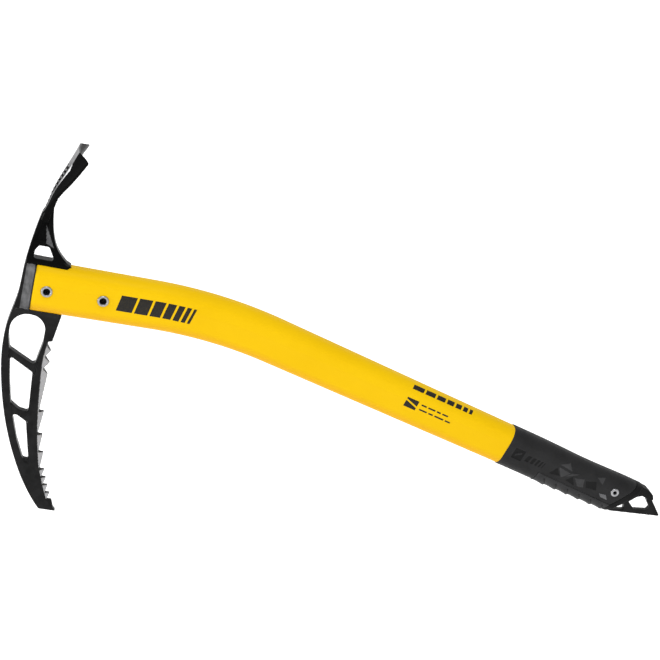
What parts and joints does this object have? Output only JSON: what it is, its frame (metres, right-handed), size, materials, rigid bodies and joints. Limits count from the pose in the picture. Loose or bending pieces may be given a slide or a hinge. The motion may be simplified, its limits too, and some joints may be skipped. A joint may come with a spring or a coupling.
{
  "type": "ice axe",
  "caption": "Short bent-shaft ice axe: windowed toothed pick, curved adze, oval yellow shaft, ribbed black grip and a flat holed spike.",
  "frame": {"origin": "centre of the shaft tube's head end, on the axis of its straight upper length, where a rucksack's axe loop sits under the head", "axes": "+X along the straight upper shaft from the head to the grip, +Z to the adze and -Z to the pick, +Y across the axe"},
  "size_m": [0.4767, 0.0478, 0.2531],
  "materials": {
    "head_black": "black coated forged steel, satin",
    "shaft_yellow": "yellow coated aluminium tube, satin",
    "rivet_steel": "bare stainless steel",
    "shim_plastic": "moulded nylon",
    "grip_rubber": "dark grey moulded rubber, fine matt texture",
    "pad_rubber": "dark grey soft rubber",
    "plug_plastic": "black moulded nylon",
    "spike_black": "black coated steel plate"
  },
  "bodies": {
    "root": {"head_forging": "head_black", "shaft_tube": "shaft_yellow", "tang_shim_left": "shim_plastic", "tang_shim_right": "shim_plastic", "head_rivet_front": "rivet_steel", "head_rivet_rear": "rivet_steel", "grip_sleeve": "grip_rubber", "finger_pad": "pad_rubber", "spike_plug": "plug_plastic", "spike_plate": "spike_black", "spike_rivet": "rivet_steel"}
  },
  "joints": []
}
